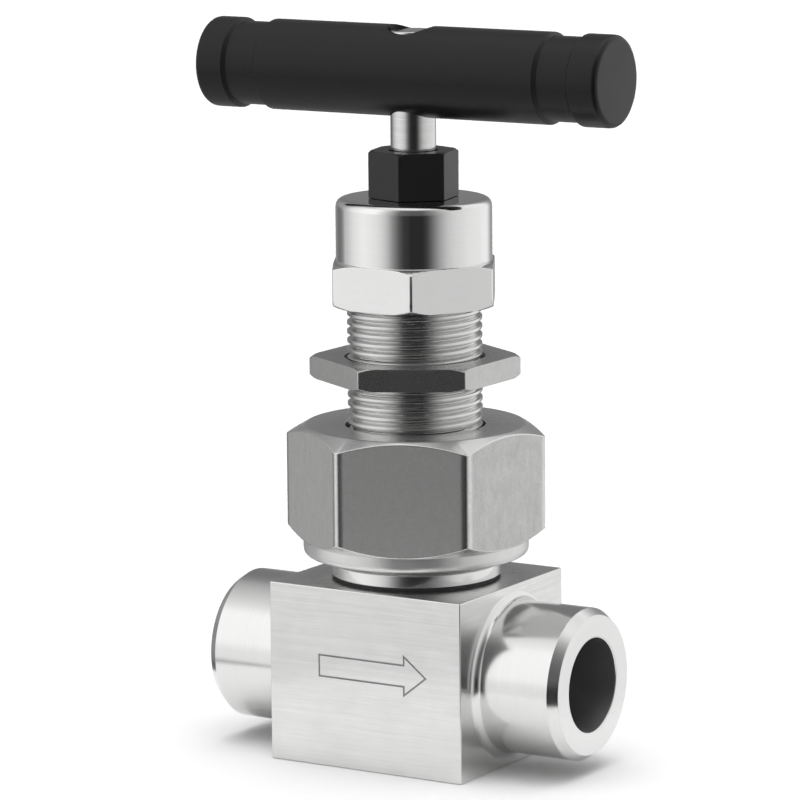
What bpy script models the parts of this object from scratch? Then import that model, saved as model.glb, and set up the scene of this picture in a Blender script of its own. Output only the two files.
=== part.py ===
"""Union-bonnet needle valve with butt-weld pipe ends, a panel nut and a bar handle.

Frame: the origin is the centre of the block's bottom face, +Z runs up the stem, +X is the way
the fluid flows (inlet at -X, outlet at +X), and -Y is the front face, which carries the flow arrow.
The valve is modelled closed: the tip rests in the seat, and opening it lifts the spindle.
Everything is in metres.
"""

import math

import bmesh
import bpy

# ---------------------------------------------------------------- driving dimensions
GAP = 0.0003
MERGE = 1e-6
ROUND_STEPS = 48
SMALL_STEPS = 36
SHARP_ANGLE = math.radians(28)
CHAMFER_SLOPE = math.tan(math.radians(30))

BLOCK_LENGTH = 0.0310
BLOCK_DEPTH = 0.0281
BLOCK_HEIGHT = 0.0254
BLOCK_EDGE = 0.0003

PORT_AXIS_Z = 0.0127
PORT_RADIUS = 0.01067
PORT_BORE_RADIUS = 0.0066
PORT_END_X = 0.0284
PORT_BORE_DEPTH = 0.0105
PORT_BEVEL_DEPTH = 0.0013
PORT_BEVEL_RISE = 0.0009
PORT_ROOT_FILLET = 0.0012

ORIFICE_RADIUS = 0.0024
ORIFICE_BOTTOM_Z = 0.0055
SEAT_Z = 0.0130
CHAMBER_RADIUS = 0.0055
DRILLING_RADIUS = 0.00225
OUTLET_DRILLING_Z = 0.0187

BOSS_RELIEF_RADIUS = 0.01197
BOSS_RELIEF_TOP_Z = 0.0282
BOSS_THREAD_RADIUS = 0.0127
BOSS_TOP_Z = 0.0365
SPIGOT_SOCKET_RADIUS = 0.0085
SPIGOT_SOCKET_Z = 0.0300

UNION_FLATS = 0.03175
UNION_CORNER_ANGLE = math.radians(24.3)
UNION_BOTTOM_Z = 0.02865
UNION_COLLAR_RADIUS = 0.01585
UNION_COLLAR_TOP_Z = 0.03083
UNION_COLLAR_ROUND = 0.0016
UNION_TOP_Z = 0.0471
UNION_TOP_FACE_RADIUS = 0.0153
UNION_SHOULDER_Z = 0.0418

THREAD_RADIUS = 0.009525
BONNET_FLANGE_RADIUS = 0.0124
BONNET_FLANGE_TOP_Z = 0.0415
BONNET_SPIGOT_RADIUS = 0.0082
BONNET_BOTTOM_Z = 0.0315
BONNET_TOP_Z = 0.0740
BACK_SEAT_BORE_RADIUS = 0.0050
BACK_SEAT_Z = 0.0396
PACKING_BOX_RADIUS = 0.00635
PACKING_BOX_Z = 0.0550

SEAL_INNER_RADIUS = 0.0059

PANEL_NUT_FLATS = 0.0256
PANEL_NUT_CORNER_ANGLE = math.radians(29.2)
PANEL_NUT_BOTTOM_Z = 0.05353
PANEL_NUT_TOP_Z = 0.05673
PANEL_NUT_FACE_RADIUS = 0.0140

CAP_FLATS = 0.0222
CAP_CORNER_ANGLE = math.radians(-0.8)
CAP_BOTTOM_Z = 0.0640
CAP_HEX_TOP_Z = 0.0702
CAP_LOWER_FACE_RADIUS = 0.0116
CAP_ROUND_RADIUS = 0.0109
CAP_ROOF_Z = 0.0743
CAP_TOP_Z = 0.0789
CAP_TOP_ROUND = 0.0014

BOLT_FLATS = 0.0111
BOLT_CORNER_ANGLE = math.radians(-17.6)
BOLT_HEX_BOTTOM_Z = 0.0792
BOLT_TOP_Z = 0.0855
BOLT_FACE_RADIUS = 0.0059
BOLT_SHANK_RADIUS = 0.00476
BOLT_SHANK_BOTTOM_Z = 0.0733

STEM_RADIUS = 0.003175
STEM_TOP_Z = 0.1021
STEM_THREAD_RADIUS = 0.00397
STEM_THREAD_BOTTOM_Z = 0.0410
STEM_THREAD_TOP_Z = 0.0505
STEM_UNDERCUT_RADIUS = 0.0033
STEM_COLLAR_RADIUS = 0.0047
STEM_COLLAR_BOTTOM_Z = 0.0340
STEM_COLLAR_TOP_Z = 0.0355
STEM_SHANK_RADIUS = 0.0036
STEM_BOTTOM_Z = 0.0220
STEM_LIP_RADIUS = 0.0021
STEM_LIP_TOP_Z = 0.0230
STEM_SOCKET_RADIUS = 0.0027
STEM_SOCKET_TOP_Z = 0.0265

TIP_POINT_RADIUS = 0.0007
TIP_POINT_Z = 0.0098
TIP_NEEDLE_RADIUS = 0.0019
TIP_BODY_RADIUS = 0.0033
TIP_NECK_RADIUS = 0.0018

LOWER_GLAND_HEIGHT = 0.0022
ADAPTER_WALL = 0.0012
CHEVRON_RISE = 0.0010
CHEVRON_THICKNESS = 0.0013
CHEVRON_SPACE = 0.00045
CHEVRON_COUNT = 5
UPPER_GLAND_TOP_Z = 0.0730

HANDLE_RADIUS = 0.00635
HANDLE_LENGTH = 0.0635
HANDLE_Z = 0.0964
HANDLE_TURN = math.radians(1.5)
HANDLE_END_EDGE = 0.0004
HANDLE_BAND_RADIUS = 0.00585
HANDLE_BAND_OUTER = 0.02735
HANDLE_BAND_INNER = 0.0220
HANDLE_BAND_SLOPE = 0.0009
HANDLE_HOLE_EDGE = 0.0003

SET_SCREW_RADIUS = 0.00208
SET_SCREW_OUTER_END = 0.0058
SET_SCREW_SOCKET_FLATS = 0.0020
SET_SCREW_SOCKET_DEPTH = 0.0012

STEEL = (0.62, 0.62, 0.61)
BRIGHT_STEEL = (0.70, 0.70, 0.69)
BLACK_OXIDE = (0.025, 0.025, 0.026)
BLACK_COATING = (0.018, 0.018, 0.019)
PTFE_WHITE = (0.80, 0.79, 0.76)
SEAL_SILVER = (0.72, 0.71, 0.68)


# ---------------------------------------------------------------- scene and helpers
def empty_scene():
    for obj in list(bpy.data.objects):
        bpy.data.objects.remove(obj, do_unlink=True)


def new_collection(name):
    collection = bpy.data.collections.new(name)
    bpy.context.scene.collection.children.link(collection)
    return collection


def material(name, colour, metallic, roughness):
    made = bpy.data.materials.new(name)
    made.use_nodes = True
    shader = made.node_tree.nodes["Principled BSDF"]
    shader.inputs["Base Color"].default_value = (*colour, 1.0)
    shader.inputs["Metallic"].default_value = metallic
    shader.inputs["Roughness"].default_value = roughness
    return made


def arc(centre, radius, start, end, steps):
    """Points on an arc in the (radius, height) plane, from one angle to another, in degrees."""
    angles = [math.radians(start + (end - start) * i / steps) for i in range(steps + 1)]
    return [
        (centre[0] + radius * math.cos(a), centre[1] + radius * math.sin(a)) for a in angles
    ]


def turned(name, profile, steps=ROUND_STEPS):
    """A body of revolution about Z. The (radius, height) profile runs down the outer side.

    A profile that starts on the axis is solid; any other closes on itself and leaves a bore.
    """
    mesh = bpy.data.meshes.new(name)
    edges = [(i, i + 1) for i in range(len(profile) - 1)]
    if profile[0][0] > 0:
        edges.append((len(profile) - 1, 0))
    mesh.from_pydata([(radius, 0, height) for radius, height in profile], edges, [])
    obj = bpy.data.objects.new(name, mesh)
    screw = obj.modifiers.new("Turn", "SCREW")
    screw.steps = steps
    screw.render_steps = steps
    screw.use_merge_vertices = True
    screw.merge_threshold = MERGE
    return obj


def rod(name, radius, bottom, top, steps=ROUND_STEPS):
    return turned(name, [(0, top), (radius, top), (radius, bottom), (0, bottom)], steps)


def hex_prism(name, flats, bottom, top, corner_angle=0.0):
    """A hexagonal prism about Z with one corner at corner_angle from +X."""
    mesh = bpy.data.meshes.new(name)
    shape = bmesh.new()
    corner_radius = flats / math.sqrt(3)
    bmesh.ops.create_cone(
        shape,
        cap_ends=True,
        segments=6,
        radius1=corner_radius,
        radius2=corner_radius,
        depth=top - bottom,
    )
    bmesh.ops.translate(shape, verts=shape.verts, vec=(0, 0, (top + bottom) / 2))
    shape.to_mesh(mesh)
    shape.free()
    obj = bpy.data.objects.new(name, mesh)
    # create_cone puts a corner on +Y, 90 degrees from +X, which is 30 degrees past a multiple of 60.
    obj.rotation_euler.z = corner_angle - math.radians(30)
    return obj


def combine(obj, other, operation):
    boolean = obj.modifiers.new(other.name, "BOOLEAN")
    boolean.operation = operation
    boolean.object = other


def helper(obj):
    obj.hide_render = True
    obj.display_type = "WIRE"
    cutters.objects.link(obj)
    return obj


def cut(obj, other):
    combine(obj, helper(other), "DIFFERENCE")


def join(obj, other):
    combine(obj, helper(other), "UNION")


def part(obj, finish, parent=None):
    parts.objects.link(obj)
    obj.data.materials.append(finish)
    obj.parent = parent
    return obj


def hex_turned(name, flats, corner_angle, profile, finish, parent=None):
    """A turned form cut to a hexagon wherever it is wider than the flats."""
    heights = [height for _, height in profile]
    reach = BLOCK_EDGE
    prism = hex_prism(name, flats, min(heights) - reach, max(heights) + reach, corner_angle)
    combine(prism, helper(turned(name + "_form", profile)), "INTERSECT")
    return part(prism, finish, parent)


def axis_empty(name, turn=0.0, parent=None):
    empty = bpy.data.objects.new(name, None)
    empty.rotation_euler.z = turn
    empty.parent = parent
    parts.objects.link(empty)
    return empty


def settle(objects):
    """Applies each part's modifiers and shades it smooth except across its real edges."""
    bpy.context.view_layer.update()
    graph = bpy.context.evaluated_depsgraph_get()
    meshes = [bpy.data.meshes.new_from_object(obj.evaluated_get(graph)) for obj in objects]
    for obj, mesh in zip(objects, meshes):
        obj.modifiers.clear()
        obj.data = mesh
        mesh.shade_smooth()
        mesh.set_sharp_from_angle(angle=SHARP_ANGLE)


# ---------------------------------------------------------------- body and union
def port_form(name, side):
    """One pipe end with its bore, turned about Z and laid along X; side is +1 for the outlet."""
    inside_block = BLOCK_LENGTH / 2 - 2 * PORT_ROOT_FILLET
    root = arc(
        (PORT_RADIUS + PORT_ROOT_FILLET, BLOCK_LENGTH / 2 + PORT_ROOT_FILLET),
        PORT_ROOT_FILLET,
        180,
        265,
        4,
    )
    bore_bottom = PORT_END_X - PORT_BORE_DEPTH
    profile = [
        (0, bore_bottom),
        (PORT_BORE_RADIUS, bore_bottom),
        (PORT_BORE_RADIUS, PORT_END_X),
        (PORT_RADIUS - PORT_BEVEL_RISE, PORT_END_X),
        (PORT_RADIUS, PORT_END_X - PORT_BEVEL_DEPTH),
        *root,
        (PORT_RADIUS + PORT_ROOT_FILLET, inside_block),
        (0, inside_block),
    ]
    form = turned(name, profile)
    form.location.z = PORT_AXIS_Z
    form.rotation_euler.y = side * math.pi / 2
    return form


def drilling(name, centre_z, side):
    """A slanted drilling from the valve's axis at centre_z to the bottom of one port's bore."""
    run = PORT_END_X - PORT_BORE_DEPTH
    rise = PORT_AXIS_Z - centre_z
    length = math.hypot(run, rise) + DRILLING_RADIUS / 2
    drill = rod(name, DRILLING_RADIUS, 0, length, 24)
    drill.location.z = centre_z
    drill.rotation_euler.y = side * math.atan2(run, rise)
    return drill


def make_valve_body(finish):
    mesh = bpy.data.meshes.new("valve_body")
    shape = bmesh.new()
    bmesh.ops.create_cube(shape, size=1)
    bmesh.ops.scale(shape, verts=shape.verts, vec=(BLOCK_LENGTH, BLOCK_DEPTH, BLOCK_HEIGHT))
    bmesh.ops.translate(shape, verts=shape.verts, vec=(0, 0, BLOCK_HEIGHT / 2))
    shape.to_mesh(mesh)
    shape.free()
    body = bpy.data.objects.new("valve_body", mesh)
    edges = body.modifiers.new("Edges", "BEVEL")
    edges.width = BLOCK_EDGE
    edges.segments = 1
    boss_profile = [
        (0, BOSS_TOP_Z),
        (BOSS_THREAD_RADIUS - 2 * GAP, BOSS_TOP_Z),
        (BOSS_THREAD_RADIUS, BOSS_TOP_Z - 2 * GAP),
        (BOSS_THREAD_RADIUS, BOSS_RELIEF_TOP_Z),
        (BOSS_RELIEF_RADIUS, BOSS_RELIEF_TOP_Z - 2 * GAP),
        (BOSS_RELIEF_RADIUS, BLOCK_HEIGHT - 2 * PORT_ROOT_FILLET),
        (0, BLOCK_HEIGHT - 2 * PORT_ROOT_FILLET),
    ]
    chamber_profile = [
        (0, BOSS_TOP_Z + 4 * GAP),
        (SPIGOT_SOCKET_RADIUS, BOSS_TOP_Z + 4 * GAP),
        (SPIGOT_SOCKET_RADIUS, SPIGOT_SOCKET_Z),
        (CHAMBER_RADIUS, SPIGOT_SOCKET_Z),
        (CHAMBER_RADIUS, SEAT_Z + CHAMBER_RADIUS - ORIFICE_RADIUS),
        (ORIFICE_RADIUS, SEAT_Z),
        (ORIFICE_RADIUS, ORIFICE_BOTTOM_Z),
        (0, ORIFICE_BOTTOM_Z - ORIFICE_RADIUS / 2),
    ]
    join(body, port_form("inlet_form", -1))
    join(body, port_form("outlet_form", 1))
    join(body, turned("boss_form", boss_profile))
    cut(body, turned("chamber_cut", chamber_profile))
    cut(body, drilling("inlet_drilling_cut", ORIFICE_BOTTOM_Z + ORIFICE_RADIUS, -1))
    cut(body, drilling("outlet_drilling_cut", OUTLET_DRILLING_Z, 1))
    return part(body, finish)


def make_union_nut(finish):
    corner_radius = UNION_FLATS / math.sqrt(3) + GAP
    side_round = arc(
        (UNION_COLLAR_RADIUS - UNION_COLLAR_ROUND, UNION_BOTTOM_Z + UNION_COLLAR_ROUND),
        UNION_COLLAR_ROUND,
        0,
        -90,
        3,
    )
    bore_radius = BOSS_THREAD_RADIUS + GAP
    profile = [
        (UNION_TOP_FACE_RADIUS, UNION_TOP_Z),
        (corner_radius, UNION_TOP_Z - (corner_radius - UNION_TOP_FACE_RADIUS) * CHAMFER_SLOPE),
        (corner_radius, UNION_COLLAR_TOP_Z + (corner_radius - UNION_COLLAR_RADIUS) * CHAMFER_SLOPE),
        (UNION_COLLAR_RADIUS, UNION_COLLAR_TOP_Z),
        *side_round,
        (bore_radius, UNION_BOTTOM_Z),
        (bore_radius, UNION_SHOULDER_Z),
        (THREAD_RADIUS + GAP, UNION_SHOULDER_Z),
        (THREAD_RADIUS + GAP, UNION_TOP_Z),
    ]
    return hex_turned("union_nut", UNION_FLATS, UNION_CORNER_ANGLE, profile, finish)


# ---------------------------------------------------------------- bonnet
def make_bonnet(finish):
    thread_bore = STEM_THREAD_RADIUS + GAP
    profile = [
        (THREAD_RADIUS - 2 * GAP, BONNET_TOP_Z),
        (THREAD_RADIUS, BONNET_TOP_Z - 2 * GAP),
        (THREAD_RADIUS, BONNET_FLANGE_TOP_Z),
        (BONNET_FLANGE_RADIUS, BONNET_FLANGE_TOP_Z),
        (BONNET_FLANGE_RADIUS, BOSS_TOP_Z + GAP),
        (BONNET_SPIGOT_RADIUS, BOSS_TOP_Z + GAP),
        (BONNET_SPIGOT_RADIUS, BONNET_BOTTOM_Z),
        (BACK_SEAT_BORE_RADIUS, BONNET_BOTTOM_Z),
        (BACK_SEAT_BORE_RADIUS, BACK_SEAT_Z),
        (thread_bore, BACK_SEAT_Z + BACK_SEAT_BORE_RADIUS - thread_bore),
        (thread_bore, PACKING_BOX_Z),
        (PACKING_BOX_RADIUS, PACKING_BOX_Z),
        (PACKING_BOX_RADIUS, BONNET_TOP_Z),
    ]
    return part(turned("bonnet", profile), finish)


def ring(name, inner, outer, bottom, top, finish):
    profile = [(outer, top), (outer, bottom), (inner, bottom), (inner, top)]
    return part(turned(name, profile, SMALL_STEPS), finish)


def make_bonnet_seal(finish):
    top = BONNET_BOTTOM_Z - GAP
    ring("bonnet_seal", SEAL_INNER_RADIUS, BONNET_SPIGOT_RADIUS, SPIGOT_SOCKET_Z + GAP, top, finish)


def make_panel_nut(finish, parent):
    corner_radius = PANEL_NUT_FLATS / math.sqrt(3) + GAP
    chamfer = (corner_radius - PANEL_NUT_FACE_RADIUS) * CHAMFER_SLOPE
    bore_radius = THREAD_RADIUS + GAP
    profile = [
        (PANEL_NUT_FACE_RADIUS, PANEL_NUT_TOP_Z),
        (corner_radius, PANEL_NUT_TOP_Z - chamfer),
        (corner_radius, PANEL_NUT_BOTTOM_Z + chamfer),
        (PANEL_NUT_FACE_RADIUS, PANEL_NUT_BOTTOM_Z),
        (bore_radius, PANEL_NUT_BOTTOM_Z),
        (bore_radius, PANEL_NUT_TOP_Z),
    ]
    angle = PANEL_NUT_CORNER_ANGLE
    return hex_turned("panel_nut", PANEL_NUT_FLATS, angle, profile, finish, parent)


def make_bonnet_cap(finish):
    corner_radius = CAP_FLATS / math.sqrt(3) + GAP
    hex_chamfer = (corner_radius - CAP_ROUND_RADIUS) * CHAMFER_SLOPE
    bottom_chamfer = (corner_radius - CAP_LOWER_FACE_RADIUS) * CHAMFER_SLOPE
    top_round = arc(
        (CAP_ROUND_RADIUS - CAP_TOP_ROUND, CAP_TOP_Z - CAP_TOP_ROUND), CAP_TOP_ROUND, 90, 0, 5
    )
    profile = [
        *top_round,
        (CAP_ROUND_RADIUS, CAP_HEX_TOP_Z),
        (corner_radius, CAP_HEX_TOP_Z - hex_chamfer),
        (corner_radius, CAP_BOTTOM_Z + bottom_chamfer),
        (CAP_LOWER_FACE_RADIUS, CAP_BOTTOM_Z),
        (THREAD_RADIUS + GAP, CAP_BOTTOM_Z),
        (THREAD_RADIUS + GAP, CAP_ROOF_Z),
        (BOLT_SHANK_RADIUS + GAP, CAP_ROOF_Z),
        (BOLT_SHANK_RADIUS + GAP, CAP_TOP_Z),
    ]
    return hex_turned("bonnet_cap", CAP_FLATS, CAP_CORNER_ANGLE, profile, finish)


def make_packing_bolt(finish):
    corner_radius = BOLT_FLATS / math.sqrt(3) + GAP
    bore_radius = STEM_RADIUS + GAP
    profile = [
        (BOLT_FACE_RADIUS, BOLT_TOP_Z),
        (corner_radius, BOLT_TOP_Z - (corner_radius - BOLT_FACE_RADIUS) * CHAMFER_SLOPE),
        (corner_radius, BOLT_HEX_BOTTOM_Z),
        (BOLT_SHANK_RADIUS, BOLT_HEX_BOTTOM_Z),
        (BOLT_SHANK_RADIUS, BOLT_SHANK_BOTTOM_Z),
        (bore_radius, BOLT_SHANK_BOTTOM_Z),
        (bore_radius, BOLT_TOP_Z),
    ]
    return hex_turned("packing_bolt", BOLT_FLATS, BOLT_CORNER_ANGLE, profile, finish)


def make_packing(gland_finish, packing_finish):
    """The glands and, between them, a stack of V rings between its two adapters."""
    inner = STEM_RADIUS + GAP
    outer = PACKING_BOX_RADIUS - GAP
    middle = (inner + outer) / 2
    bottom = PACKING_BOX_Z + GAP
    ring("lower_gland", inner, outer, bottom, bottom + LOWER_GLAND_HEIGHT, gland_finish)
    base = bottom + LOWER_GLAND_HEIGHT + GAP
    edge = base + ADAPTER_WALL
    profile = [(outer, edge), (outer, base), (inner, base), (inner, edge)]
    profile.append((middle, edge + CHEVRON_RISE))
    part(turned("packing_bottom_adapter", profile, SMALL_STEPS), packing_finish)
    for number in range(1, CHEVRON_COUNT + 1):
        low = edge + CHEVRON_SPACE
        edge = low + CHEVRON_THICKNESS
        profile = [
            (outer, edge),
            (outer, low),
            (middle, low + CHEVRON_RISE),
            (inner, low),
            (inner, edge),
            (middle, edge + CHEVRON_RISE),
        ]
        part(turned(f"packing_ring_{number}", profile, SMALL_STEPS), packing_finish)
    low = edge + CHEVRON_SPACE
    top = low + CHEVRON_RISE + ADAPTER_WALL
    profile = [(outer, top), (outer, low), (middle, low + CHEVRON_RISE), (inner, low), (inner, top)]
    part(turned("packing_top_adapter", profile, SMALL_STEPS), packing_finish)
    ring("upper_gland", inner, outer, top + GAP, UPPER_GLAND_TOP_Z, gland_finish)


# ---------------------------------------------------------------- spindle
def make_stem(finish, parent):
    collar_cone = STEM_COLLAR_RADIUS - STEM_SHANK_RADIUS
    thread_step = STEM_THREAD_RADIUS - STEM_RADIUS
    profile = [
        (0, STEM_TOP_Z),
        (STEM_RADIUS - GAP, STEM_TOP_Z),
        (STEM_RADIUS, STEM_TOP_Z - GAP),
        (STEM_RADIUS, STEM_THREAD_TOP_Z),
        (STEM_THREAD_RADIUS, STEM_THREAD_TOP_Z - thread_step),
        (STEM_THREAD_RADIUS, STEM_THREAD_BOTTOM_Z),
        (STEM_UNDERCUT_RADIUS, STEM_THREAD_BOTTOM_Z - thread_step),
        (STEM_UNDERCUT_RADIUS, STEM_COLLAR_TOP_Z + collar_cone + GAP),
        (STEM_SHANK_RADIUS, STEM_COLLAR_TOP_Z + collar_cone),
        (STEM_COLLAR_RADIUS, STEM_COLLAR_TOP_Z),
        (STEM_COLLAR_RADIUS, STEM_COLLAR_BOTTOM_Z),
        (STEM_SHANK_RADIUS, STEM_COLLAR_BOTTOM_Z),
        (STEM_SHANK_RADIUS, STEM_BOTTOM_Z),
        (STEM_LIP_RADIUS, STEM_BOTTOM_Z),
        (STEM_LIP_RADIUS, STEM_LIP_TOP_Z),
        (STEM_SOCKET_RADIUS, STEM_LIP_TOP_Z),
        (STEM_SOCKET_RADIUS, STEM_SOCKET_TOP_Z),
        (0, STEM_SOCKET_TOP_Z),
    ]
    return part(turned("stem", profile, SMALL_STEPS), finish, parent)


def make_stem_tip(finish, parent):
    """The tip hangs in the stem's socket by its head, so that the stem turns and the tip doesn't."""
    head_radius = STEM_SOCKET_RADIUS - GAP
    # The 45-degree cone keeps GAP, measured square to it, from the seat's cone.
    clearance = GAP * math.sqrt(2)
    cone_bottom = SEAT_Z + clearance - (ORIFICE_RADIUS - TIP_NEEDLE_RADIUS)
    cone_top = cone_bottom + TIP_BODY_RADIUS - TIP_NEEDLE_RADIUS
    profile = [
        (0, STEM_SOCKET_TOP_Z - GAP),
        (head_radius, STEM_SOCKET_TOP_Z - GAP),
        (head_radius, STEM_LIP_TOP_Z + GAP),
        (TIP_NECK_RADIUS, STEM_LIP_TOP_Z + GAP),
        (TIP_NECK_RADIUS, STEM_BOTTOM_Z - GAP),
        (TIP_BODY_RADIUS, STEM_BOTTOM_Z - GAP),
        (TIP_BODY_RADIUS, cone_top),
        (TIP_NEEDLE_RADIUS, cone_bottom),
        (TIP_POINT_RADIUS, TIP_POINT_Z),
        (0, TIP_POINT_Z - TIP_POINT_RADIUS / 2),
    ]
    return part(turned("stem_tip", profile, SMALL_STEPS), finish, parent)


def make_handle_bar(finish, parent):
    half = HANDLE_LENGTH / 2
    outer_half = [
        (0, half),
        (HANDLE_RADIUS - HANDLE_END_EDGE, half),
        (HANDLE_RADIUS, half - HANDLE_END_EDGE),
        (HANDLE_RADIUS, HANDLE_BAND_OUTER),
        (HANDLE_BAND_RADIUS, HANDLE_BAND_OUTER - HANDLE_BAND_SLOPE),
        (HANDLE_BAND_RADIUS, HANDLE_BAND_INNER + HANDLE_BAND_SLOPE),
        (HANDLE_RADIUS, HANDLE_BAND_INNER),
    ]
    other_half = [(radius, -along) for radius, along in reversed(outer_half)]
    bar = turned("handle_bar", outer_half + other_half)
    bar.location.z = HANDLE_Z
    bar.rotation_euler.y = math.pi / 2
    hole_radius = STEM_RADIUS + GAP
    edge = HANDLE_RADIUS - HANDLE_HOLE_EDGE
    reach = HANDLE_RADIUS + hole_radius
    flare = hole_radius + reach - edge
    hole_profile = [
        (0, reach),
        (flare, reach),
        (hole_radius, edge),
        (hole_radius, -edge),
        (flare, -reach),
        (0, -reach),
    ]
    hole = turned("stem_hole_cut", hole_profile, SMALL_STEPS)
    hole.location.z = HANDLE_Z
    screw_hole = rod("set_screw_hole_cut", SET_SCREW_RADIUS + GAP, 0, reach, 24)
    screw_hole.location.z = HANDLE_Z
    screw_hole.rotation_euler.x = -math.pi / 2
    for cutter in (hole, screw_hole):
        cutter.parent = parent
        cut(bar, cutter)
    return part(bar, finish, parent)


def make_set_screw(finish, parent):
    inner_end = STEM_RADIUS + GAP
    profile = [
        (0, SET_SCREW_OUTER_END),
        (SET_SCREW_RADIUS - GAP, SET_SCREW_OUTER_END),
        (SET_SCREW_RADIUS, SET_SCREW_OUTER_END - GAP),
        (SET_SCREW_RADIUS, inner_end + 2 * GAP),
        (SET_SCREW_RADIUS - 2 * GAP, inner_end),
        (0, inner_end),
    ]
    screw = turned("handle_set_screw", profile, 24)
    socket_bottom = SET_SCREW_OUTER_END - SET_SCREW_SOCKET_DEPTH
    socket_top = SET_SCREW_OUTER_END + GAP
    socket = hex_prism("set_screw_socket_cut", SET_SCREW_SOCKET_FLATS, socket_bottom, socket_top)
    for piece in (screw, socket):
        piece.location.z = HANDLE_Z
        piece.rotation_euler.x = -math.pi / 2
        piece.parent = parent
    cut(screw, socket)
    return part(screw, finish, parent)


# ---------------------------------------------------------------- the valve
empty_scene()
parts = new_collection("needle_valve")
cutters = new_collection("cutters")

brushed = material("brushed_steel", STEEL, 1.0, 0.32)
turned_steel = material("turned_steel", BRIGHT_STEEL, 1.0, 0.18)
black_steel = material("black_oxide_steel", BLACK_OXIDE, 0.6, 0.45)
coating = material("black_handle_coating", BLACK_COATING, 0.0, 0.5)
ptfe = material("ptfe_packing", PTFE_WHITE, 0.0, 0.5)
seal = material("seal_metal", SEAL_SILVER, 1.0, 0.35)

lift_axis = axis_empty("lift_axis")
spindle_axis = axis_empty("spindle_axis", HANDLE_TURN, lift_axis)
panel_nut_axis = axis_empty("panel_nut_axis")

make_valve_body(brushed)
make_union_nut(brushed)
make_bonnet(turned_steel)
make_bonnet_seal(seal)
make_panel_nut(brushed, panel_nut_axis)
make_bonnet_cap(turned_steel)
make_packing_bolt(black_steel)
make_packing(turned_steel, ptfe)
make_stem(turned_steel, spindle_axis)
make_stem_tip(turned_steel, lift_axis)
make_handle_bar(coating, spindle_axis)
make_set_screw(black_steel, spindle_axis)
settle([obj for obj in parts.objects if obj.type == "MESH"])
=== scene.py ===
"""Looks of the union-bonnet needle valve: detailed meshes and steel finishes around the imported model.

Everything is in metres, in the model's own frame: +Z up the stem, +X along the flow, -Y the front.
"""

import math

import bmesh
import bpy
from mathutils import Matrix, Vector


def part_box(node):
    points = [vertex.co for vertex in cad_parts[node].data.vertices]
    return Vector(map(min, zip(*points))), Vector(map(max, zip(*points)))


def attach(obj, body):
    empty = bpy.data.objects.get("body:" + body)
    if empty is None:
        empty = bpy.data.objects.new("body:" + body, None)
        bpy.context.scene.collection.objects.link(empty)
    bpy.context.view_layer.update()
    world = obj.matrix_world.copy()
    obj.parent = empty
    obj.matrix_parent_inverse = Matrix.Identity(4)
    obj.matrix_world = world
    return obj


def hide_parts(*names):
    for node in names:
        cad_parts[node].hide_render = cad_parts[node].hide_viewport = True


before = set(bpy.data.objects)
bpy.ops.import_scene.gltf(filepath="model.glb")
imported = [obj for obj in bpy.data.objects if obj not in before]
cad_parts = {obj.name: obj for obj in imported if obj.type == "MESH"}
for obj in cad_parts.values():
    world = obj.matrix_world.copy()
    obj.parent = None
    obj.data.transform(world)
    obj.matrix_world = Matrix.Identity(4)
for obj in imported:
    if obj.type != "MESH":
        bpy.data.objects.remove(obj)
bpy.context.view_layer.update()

# ---------------------------------------------------------------- sizes
MM = 0.001
TURNED_STEPS = 160
FLAT_STEPS = 14
CORNER_STEPS = 6
CHAMFER_SLOPE = math.tan(math.radians(30))

BODY_LOW, BODY_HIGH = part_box("valve_body")
UNION_LOW, UNION_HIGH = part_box("union_nut")
BONNET_LOW, BONNET_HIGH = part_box("bonnet")
PANEL_LOW, PANEL_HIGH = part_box("panel_nut")
CAP_LOW, CAP_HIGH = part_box("bonnet_cap")
BOLT_LOW, BOLT_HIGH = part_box("packing_bolt")
STEM_LOW, STEM_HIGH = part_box("stem")
BAR_LOW, BAR_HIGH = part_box("handle_bar")

CLEARANCE = 0.3 * MM

BLOCK_LENGTH = 31.0 * MM
BLOCK_DEPTH = BODY_HIGH.y - BODY_LOW.y
BLOCK_HEIGHT = 25.4 * MM
BLOCK_EDGE = 0.18 * MM

PORT_END_X = BODY_HIGH.x
PORT_AXIS_Z = BLOCK_HEIGHT / 2
PORT_RADIUS = 10.67 * MM
PORT_BORE_RADIUS = 6.6 * MM
PORT_BORE_DEPTH = 10.5 * MM
PORT_BEVEL_DEPTH = 1.3 * MM
PORT_BEVEL_RISE = 0.9 * MM
PORT_ROOT_FILLET = 1.2 * MM
BORE_EDGE = 0.22 * MM

ORIFICE_RADIUS = 2.4 * MM
ORIFICE_BOTTOM_Z = 5.5 * MM
SEAT_Z = 13.0 * MM
CHAMBER_RADIUS = 5.5 * MM
DRILLING_RADIUS = 2.25 * MM
OUTLET_DRILLING_Z = 18.7 * MM
BOSS_RELIEF_RADIUS = 11.97 * MM
BOSS_RELIEF_TOP_Z = 28.2 * MM
BOSS_THREAD_RADIUS = 12.7 * MM
BOSS_TOP_Z = BODY_HIGH.z
SPIGOT_SOCKET_RADIUS = 8.5 * MM
SPIGOT_SOCKET_Z = 30.0 * MM

UNION_FLATS = 31.75 * MM
UNION_CORNER_ANGLE = math.radians(24.3)
UNION_SHOULDER_Z = 41.8 * MM
UNION_COLLAR_RADIUS = 15.83 * MM
UNION_COLLAR_TOP_Z = 30.83 * MM
UNION_FACE_RADIUS = 15.3 * MM
UNION_POLISH_START = 7.9 * MM
UNION_POLISH_END = 8.6 * MM

THREAD_RADIUS = 9.525 * MM
THREAD_PITCH = 1.27 * MM
THREAD_DEPTH = 0.62 * MM
THREAD_CREST_RADIUS = THREAD_RADIUS - 0.08 * MM
THREAD_BOTTOM_Z = 42.6 * MM
THREAD_FIRST_TURN_Z = THREAD_BOTTOM_Z + 0.96 * MM

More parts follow.
